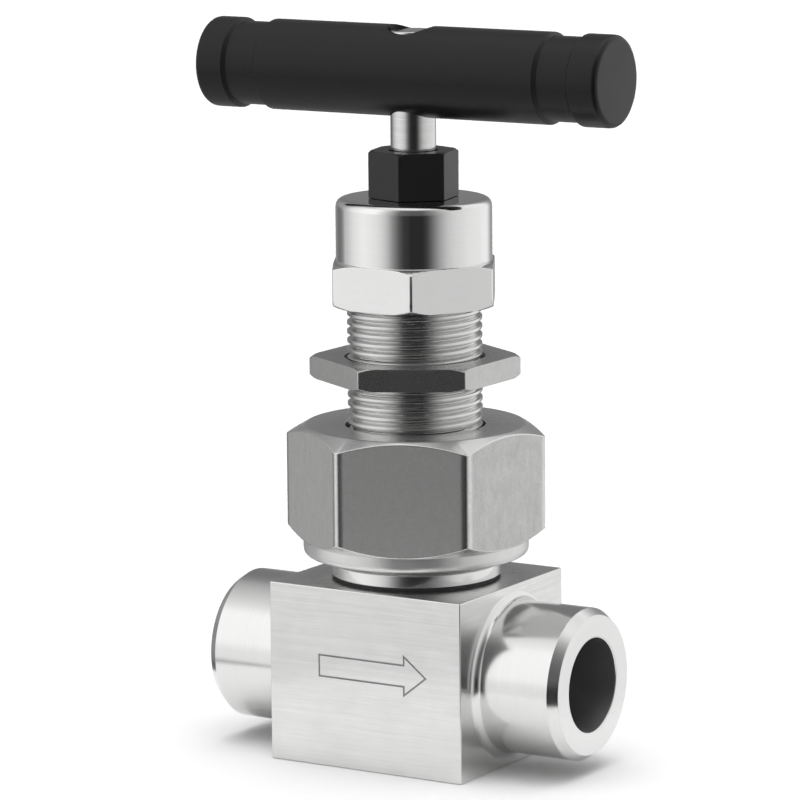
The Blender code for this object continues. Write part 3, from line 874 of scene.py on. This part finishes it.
# ---------------------------------------------------------------- bonnet thread
def make_bonnet():
    """The bonnet with a real helical thread between the union nut's shoulder and its own top."""
    steps = 96
    room = BONNET_HIGH.z - 0.4 * MM - THREAD_BOTTOM_Z - 1.6 * THREAD_PITCH
    turns = int(room / THREAD_PITCH)
    strip = thread_strip(
        THREAD_CREST_RADIUS, THREAD_PITCH, THREAD_DEPTH, THREAD_FIRST_TURN_Z, turns, steps
    )
    shape = bmesh.new()
    across = len(strip[0])
    rows = [[shape.verts.new(p) for p in row] for row in strip]
    # The top row of each pitch is the bottom row one turn later, which closes the thread.
    for i in range(len(rows) - 1):
        for j in range(across - 1):
            shape.faces.new((rows[i][j], rows[i + 1][j], rows[i + 1][j + 1], rows[i][j + 1]))
        if i + 1 + steps < len(rows):
            one, two = rows[i + steps], rows[i + 1 + steps]
            shape.faces.new((rows[i][-1], rows[i + 1][-1], two[0], one[0]))

    def ring(radius, height):
        angles = [2 * math.pi * i / steps for i in range(steps)]
        return [shape.verts.new((radius * math.cos(a), radius * math.sin(a), height)) for a in angles]

    def band(one, two):
        for i in range(steps):
            j = (i + 1) % steps
            shape.faces.new((one[i], one[j], two[j], two[i]))

    root_radius = THREAD_CREST_RADIUS - THREAD_DEPTH
    low = ring(root_radius, THREAD_BOTTOM_Z)
    high = ring(root_radius, BONNET_HIGH.z)
    # The first turn's lower edge joins the ring below it, and the thread's start is closed by one face.
    for i in range(steps):
        shape.faces.new((low[i], low[(i + 1) % steps], rows[i + 1][0], rows[i][0]))
    shape.faces.new([low[0], *rows[0], rows[steps][0]])
    # The last turn's upper edge joins the ring above it in the same way.
    last = len(rows) - 1
    first_open = last - steps
    offset = first_open % steps
    for i in range(steps):
        one, two = rows[first_open + i][-1], rows[first_open + i + 1][-1]
        a, b = high[(offset + i) % steps], high[(offset + i + 1) % steps]
        shape.faces.new((one, two, b, a))
    shape.faces.new([high[offset], *reversed(rows[last]), rows[first_open][-1]])
    # From the thread's foot round the flange and spigot, and up the bore to the top.
    seat_cone = BACK_SEAT_BORE_RADIUS - STEM_BORE_RADIUS
    below = outline(
        [
            (BONNET_PLAIN_RADIUS, THREAD_BOTTOM_Z - 0.3 * MM),
            (BONNET_PLAIN_RADIUS, BONNET_FLANGE_TOP_Z),
            (BONNET_FLANGE_RADIUS, BONNET_FLANGE_TOP_Z, 0.3 * MM),
            (BONNET_FLANGE_RADIUS, BONNET_FLANGE_BOTTOM_Z, 0.3 * MM),
            (BONNET_SPIGOT_RADIUS, BONNET_FLANGE_BOTTOM_Z),
            (BONNET_SPIGOT_RADIUS, BONNET_LOW.z, 0.3 * MM),
            (BACK_SEAT_BORE_RADIUS, BONNET_LOW.z, 0.2 * MM),
            (BACK_SEAT_BORE_RADIUS, BACK_SEAT_Z),
            (STEM_BORE_RADIUS, BACK_SEAT_Z + seat_cone),
            (STEM_BORE_RADIUS, PACKING_BOX_Z),
            (PACKING_BOX_RADIUS, PACKING_BOX_Z),
            (PACKING_BOX_RADIUS, BONNET_HIGH.z, 0.2 * MM),
        ]
    )
    rings = [low, *(ring(r, z) for r, z in below), high]
    for one, two in zip(rings, rings[1:]):
        band(one, two)
    bmesh.ops.recalc_face_normals(shape, faces=shape.faces)
    mesh = bpy.data.meshes.new("bonnet_tube")
    shape.to_mesh(mesh)
    shape.free()
    bonnet = finish(new_object("bonnet_tube", mesh), THREAD_FINISH)
    smooth(bonnet)
    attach(bonnet, "valve")
    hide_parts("bonnet")


# ---------------------------------------------------------------- spindle
def make_stem():
    """The rod, its screw, the collar that limits the lift and, at the foot, the socket for the tip."""
    profile = outline(
        [
            (STEM_RADIUS, STEM_HIGH.z, 0.35 * MM),
            (STEM_RADIUS, 50.5 * MM, 0.1 * MM),
            (STEM_THREAD_RADIUS, 49.7 * MM, 0.1 * MM),
            (STEM_THREAD_RADIUS, 41.0 * MM, 0.1 * MM),
            (STEM_UNDERCUT_RADIUS, 40.2 * MM),
            (STEM_UNDERCUT_RADIUS, 36.9 * MM),
            (STEM_SHANK_RADIUS, 36.6 * MM),
            (STEM_COLLAR_RADIUS, 35.5 * MM, 0.1 * MM),
            (STEM_COLLAR_RADIUS, 34.0 * MM, 0.1 * MM),
            (STEM_SHANK_RADIUS, 34.0 * MM),
            (STEM_SHANK_RADIUS, STEM_LOW.z, 0.2 * MM),
            (STEM_LIP_RADIUS, STEM_LOW.z, 0.1 * MM),
            (STEM_LIP_RADIUS, STEM_LIP_TOP_Z),
            (STEM_SOCKET_RADIUS, STEM_LIP_TOP_Z),
            (STEM_SOCKET_RADIUS, STEM_SOCKET_TOP_Z),
        ]
    )
    stem = finish(turned("stem_rod", profile, hollow=False, steps=96), STEM_FINISH)
    smooth(stem)
    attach(stem, "spindle")
    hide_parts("stem")


def make_handle():
    """The bar with a band turned in near each end, a hole for the stem and a tapped hole at the back."""
    centre = Matrix.Translation((0, 0, HANDLE_Z))
    radius, half = HANDLE_RADIUS, HANDLE_HALF_LENGTH
    one_half = outline(
        [
            (0.4 * MM, half),
            (radius, half, 0.8 * MM),
            (radius, HANDLE_BAND_OUTER, 0.2 * MM),
            (HANDLE_BAND_RADIUS, HANDLE_BAND_OUTER - HANDLE_BAND_SLOPE, 0.1 * MM),
            (HANDLE_BAND_RADIUS, HANDLE_BAND_INNER + HANDLE_BAND_SLOPE, 0.1 * MM),
            (radius, HANDLE_BAND_INNER, 0.2 * MM),
            (radius, 0.0),
        ]
    )[:-1]
    profile = one_half + [(r, -z) for r, z in reversed(one_half)]
    bar = finish(turned("handle_grip", profile, hollow=False), HANDLE_FINISH)
    bar.matrix_world = HANDLE_TURN @ centre @ Matrix.Rotation(math.pi / 2, 4, "Y")
    apply_place(bar)
    past = radius + MM
    hole_radius = STEM_RADIUS + CLEARANCE
    hole = turned("hole", [(hole_radius, past), (hole_radius, -past)], hollow=False, steps=96)
    finish(hole, HANDLE_FINISH)
    hole.matrix_world = HANDLE_TURN @ centre
    boolean(bar, hole, "DIFFERENCE")
    tap_radius = SET_SCREW_RADIUS + CLEARANCE
    tapped = turned("tapped", [(tap_radius, past), (tap_radius, 0)], hollow=False, steps=64)
    finish(tapped, HANDLE_FINISH)
    tapped.matrix_world = HANDLE_TURN @ centre @ Matrix.Rotation(-math.pi / 2, 4, "X")
    boolean(bar, tapped, "DIFFERENCE")
    edge = bar.modifiers.new("Edge", "BEVEL")
    edge.width = HANDLE_EDGE
    edge.segments = 2
    edge.limit_method = "ANGLE"
    edge.angle_limit = math.radians(40)
    bpy.context.view_layer.update()
    apply_modifiers(bar)
    smooth(bar)
    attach(bar, "spindle")
    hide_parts("handle_bar")


def make_set_screw():
    radius, point = SET_SCREW_RADIUS, SET_SCREW_POINT
    inner, outer = SET_SCREW_INNER_END, SET_SCREW_OUTER_END
    profile = outline(
        [
            (radius, outer, 0.3 * MM),
            (radius, inner + point, 0.1 * MM),
            (radius - point, inner, 0.1 * MM),
        ]
    )
    screw = finish(turned("set_screw_body", profile, hollow=False, steps=64), BOLT_FINISH)
    socket_points = hexagon(SET_SCREW_SOCKET_FLATS, 0.0, 0.05 * MM)
    socket_ends = (outer + MM, outer - SET_SCREW_SOCKET_DEPTH)
    rings = [[(p.x, p.y, z) for p in socket_points] for z in socket_ends]
    socket = finish(skin("socket", rings, hollow=False), BOLT_FINISH)
    boolean(screw, socket, "DIFFERENCE")
    centre = Matrix.Translation((0, 0, HANDLE_Z))
    screw.matrix_world = HANDLE_TURN @ centre @ Matrix.Rotation(-math.pi / 2, 4, "X")
    apply_place(screw)
    smooth(screw)
    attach(screw, "spindle")
    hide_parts("handle_set_screw")


# ---------------------------------------------------------------- inner pieces
def finish_inner_nodes():
    """The hidden pieces keep their CAD shapes and get finishes of their own."""
    finishes = {
        "bonnet_seal": INNER_FINISH,
        "lower_gland": INNER_FINISH,
        "upper_gland": INNER_FINISH,
        "stem_tip": INNER_FINISH,
        "packing_bottom_adapter": PACKING_FINISH,
        "packing_top_adapter": PACKING_FINISH,
    }
    finishes.update({f"packing_ring_{i}": PACKING_FINISH for i in range(1, 6)})
    for node, material in finishes.items():
        finish(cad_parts[node], material)


# ---------------------------------------------------------------- studio
CAMERA_AZIMUTH = math.radians(31.576)
CAMERA_ELEVATION = math.radians(9.906)
CAMERA_DISTANCE = 0.678
CAMERA_ROLL = math.radians(-0.455)
CAMERA_LENS = 218.37
SENSOR = 36.0
AIM_SIDEWAYS = -2.124 * MM
AIM_HEIGHT = 50.29 * MM
NEAR_FLOOR_RADIUS = 0.055
FAR_FLOOR_RADIUS = 4.0
FLOOR_DROP = 0.02 * MM
DOME_RADIUS = 3.0
TABLE_EDGE_ELEVATION = -17.5
TABLE_EDGE_SLOPE = 0.4
TABLE_EDGE_DARK = 0.1
SKY_FOCUS = 8.0
SKY_OVERHEAD = 4.4
SKY_EVERYWHERE = 0.3


def make_camera():
    azimuth, elevation = CAMERA_AZIMUTH, CAMERA_ELEVATION
    back = Vector(
        (
            math.sin(azimuth) * math.cos(elevation),
            -math.cos(azimuth) * math.cos(elevation),
            math.sin(elevation),
        )
    )
    level = Vector((math.cos(azimuth), math.sin(azimuth), 0))
    upward = back.cross(level)
    right = level * math.cos(CAMERA_ROLL) + upward * math.sin(CAMERA_ROLL)
    up = upward * math.cos(CAMERA_ROLL) - level * math.sin(CAMERA_ROLL)
    target = level * AIM_SIDEWAYS + Vector((0, 0, AIM_HEIGHT))
    place = Matrix((right, up, back)).transposed().to_4x4()
    place.translation = target + back * CAMERA_DISTANCE
    data = bpy.data.cameras.new("camera")
    data.lens = CAMERA_LENS
    data.sensor_width = SENSOR
    data.clip_start = 0.01
    camera = new_object("camera", data)
    camera.matrix_world = place
    bpy.context.scene.camera = camera


def plain_material(name, colour, roughness):
    shader = Shader(name, colour, 0.0, roughness)
    shader.surface.inputs["Specular IOR Level"].default_value = 0.1
    return shader.material


def make_floor():
    """A pale floor in two parts. Only the near one shows in the steel, like a small sheet of paper."""
    finish_floor = plain_material("floor_white", (0.95, 0.95, 0.95), 0.9)
    steps = 96
    for name, inner, outer in (
        ("floor_near", 0.0, NEAR_FLOOR_RADIUS),
        ("floor_far", NEAR_FLOOR_RADIUS, FAR_FLOOR_RADIUS),
    ):
        shape = bmesh.new()
        angles = [2 * math.pi * i / steps for i in range(steps)]
        edge = [shape.verts.new((outer * math.cos(a), outer * math.sin(a), 0)) for a in angles]
        if inner:
            hole = [shape.verts.new((inner * math.cos(a), inner * math.sin(a), 0)) for a in angles]
            for i in range(steps):
                j = (i + 1) % steps
                shape.faces.new((hole[i], edge[i], edge[j], hole[j]))
        else:
            shape.faces.new(edge)
        mesh = bpy.data.meshes.new(name)
        shape.to_mesh(mesh)
        shape.free()
        floor = finish(new_object(name, mesh), finish_floor)
        floor.location.z = -FLOOR_DROP
        floor.visible_glossy = not inner


def azimuth_ramp(shader, factor, stops):
    """Brightness round the studio. stops are (azimuth from +X in degrees, brightness)."""
    ramp = shader.add("ShaderNodeValToRGB")
    ramp.color_ramp.interpolation = "LINEAR"
    elements = ramp.color_ramp.elements
    while len(elements) > 1:
        elements.remove(elements[-1])
    for i, (azimuth, value) in enumerate(stops):
        position = (azimuth + 180) / 360
        element = elements[0] if i == 0 else elements.new(position)
        element.position = position
        element.color = (value, value, value, 1)
    shader.link(factor, ramp.inputs["Fac"])
    return ramp.outputs["Color"]


def make_reflection_dome():
    """The studio that the steel reflects: two soft boxes with a dark gap, dim walls, a table edge below.

    Its brightness round the valve is given at four heights, and one blends into the next between the
    two elevations, in degrees, that stand after it.
    """
    shape = bmesh.new()
    bmesh.ops.create_uvsphere(shape, u_segments=64, v_segments=32, radius=DOME_RADIUS)
    mesh = bpy.data.meshes.new("reflection_dome")
    shape.to_mesh(mesh)
    shape.free()
    dome = new_object("reflection_dome", mesh)
    shader = Shader("studio_walls", (0, 0, 0), 0.0, 1.0)
    emission = shader.add("ShaderNodeEmission")
    output = shader.tree.nodes["Material Output"]
    shader.link(emission.outputs[0], output.inputs["Surface"])
    parts = shader.add("ShaderNodeSeparateXYZ")
    shader.link(shader.place(), parts.inputs[0])
    turn = shader.math("ARCTAN2", parts.outputs["Y"], parts.outputs["X"])
    factor = shader.math("ADD", shader.math("DIVIDE", turn, 2 * math.pi), 0.5)
    height = shader.math("DIVIDE", parts.outputs["Z"], DOME_RADIUS)
    elevation = shader.math("MULTIPLY", shader.math("ARCSINE", height), 180 / math.pi)
    low = [
        (-180, 0.56), (-172, 0.70), (-159, 0.92), (-150, 1.0), (-138, 1.08), (-124, 1.0), (-113, 0.91),
        (-106, 0.80), (-99, 0.63), (-90, 0.32), (-81, 0.12), (-74, 0.05), (-65, 0.027), (-46, 0.027),
        (-39, 0.06), (-32, 0.17), (-27, 0.28), (-18, 0.48), (-8, 0.68), (2, 0.79), (29, 0.95), (50, 0.985),
        (66, 1.05), (77, 1.03), (88, 0.60), (95, 0.35), (121, 0.42), (153, 0.20), (160, 0.18), (167, 0.23),
        (177, 0.50),
    ]
    middle = [
        (-180, 0.56), (-163, 1.0), (-138, 1.22), (-118, 1.2), (-99, 0.65), (-81, 0.18), (-65, 0.12),
        (-46, 0.12), (-32, 0.26), (-18, 0.5), (2, 0.8), (50, 1.0), (77, 1.05), (95, 0.36), (110, 0.22),
        (130, 0.20), (153, 0.35), (167, 0.40), (177, 0.50),
    ]
    high = [
        (-180, 0.6), (-160, 0.8), (-140, 1.05), (-110, 0.8), (-80, 0.2), (-40, 0.2), (10, 0.9), (92, 0.9),
        (120, 0.35), (150, 0.45), (179, 0.6),
    ]
    ground = [
        (-180, 0.6), (-150, 0.72), (-110, 0.8), (-80, 0.06), (-40, 0.06), (0, 0.75), (60, 0.85), (95, 0.5),
        (120, 0.38), (150, 0.45), (179, 0.6),
    ]
    light = azimuth_ramp(shader, factor, low)
    overhead = [(-180, 0.95)]
    for stops, start, end in (
        (middle, -3, 10),
        (high, 44, 52),
        (overhead, 56, 68),
        (ground, -15, -21),
    ):
        step = shader.add("ShaderNodeMapRange", interpolation_type="SMOOTHSTEP")
        shader.link(elevation, step.inputs["Value"])
        step.inputs["From Min"].default_value = start
        step.inputs["From Max"].default_value = end
        mix = shader.add("ShaderNodeMix", data_type="RGBA")
        shader.link(step.outputs["Result"], mix.inputs["Factor"])
        shader.link(light, mix.inputs["A"])
        shader.link(azimuth_ramp(shader, factor, stops), mix.inputs["B"])
        light = mix.outputs["Result"]
    shader.link(light, emission.inputs["Color"])
    from_edge = shader.math("ABSOLUTE", shader.math("SUBTRACT", elevation, TABLE_EDGE_ELEVATION))
    rise = shader.math("MINIMUM", shader.math("MULTIPLY", from_edge, TABLE_EDGE_SLOPE), 1.0)
    lit = shader.math("MULTIPLY", rise, 1 - TABLE_EDGE_DARK)
    shader.link(shader.math("ADD", TABLE_EDGE_DARK, lit), emission.inputs["Strength"])
    finish(dome, shader.material)
    shader.material.cycles.emission_sampling = "NONE"
    dome.visible_camera = False
    dome.visible_diffuse = False
    dome.visible_transmission = False
    dome.visible_volume_scatter = False
    dome.visible_shadow = False


def make_light():
    """A sky that is brightest overhead, so that the shadows gather close under the valve.

    The camera sees it as plain white, and the view transform leaves that white as it is.
    """
    world = bpy.data.worlds.new("studio")
    world.use_nodes = True
    nodes, links = world.node_tree.nodes, world.node_tree.links
    place = nodes.new("ShaderNodeTexCoord")
    parts = nodes.new("ShaderNodeSeparateXYZ")
    links.new(place.outputs["Generated"], parts.inputs[0])
    value = parts.outputs["Z"]
    for operation, number in (
        ("MAXIMUM", 0.0),
        ("POWER", SKY_FOCUS),
        ("MULTIPLY", SKY_OVERHEAD),
        ("ADD", SKY_EVERYWHERE),
    ):
        step = nodes.new("ShaderNodeMath")
        step.operation = operation
        links.new(value, step.inputs[0])
        step.inputs[1].default_value = number
        value = step.outputs[0]
    path = nodes.new("ShaderNodeLightPath")
    seen = nodes.new("ShaderNodeMath")
    seen.operation = "MAXIMUM"
    links.new(value, seen.inputs[0])
    links.new(path.outputs["Is Camera Ray"], seen.inputs[1])
    links.new(seen.outputs[0], nodes["Background"].inputs["Strength"])
    nodes["Background"].inputs["Color"].default_value = (1, 1, 1, 1)
    bpy.context.scene.world = world
    bpy.context.scene.view_settings.view_transform = "Standard"


make_camera()
make_valve_body()
make_union_nut()
make_panel_nut()
make_bonnet_cap()
make_packing_bolt()
make_bonnet()
make_stem()
make_handle()
make_set_screw()
finish_inner_nodes()
make_floor()
make_reflection_dome()
make_light()
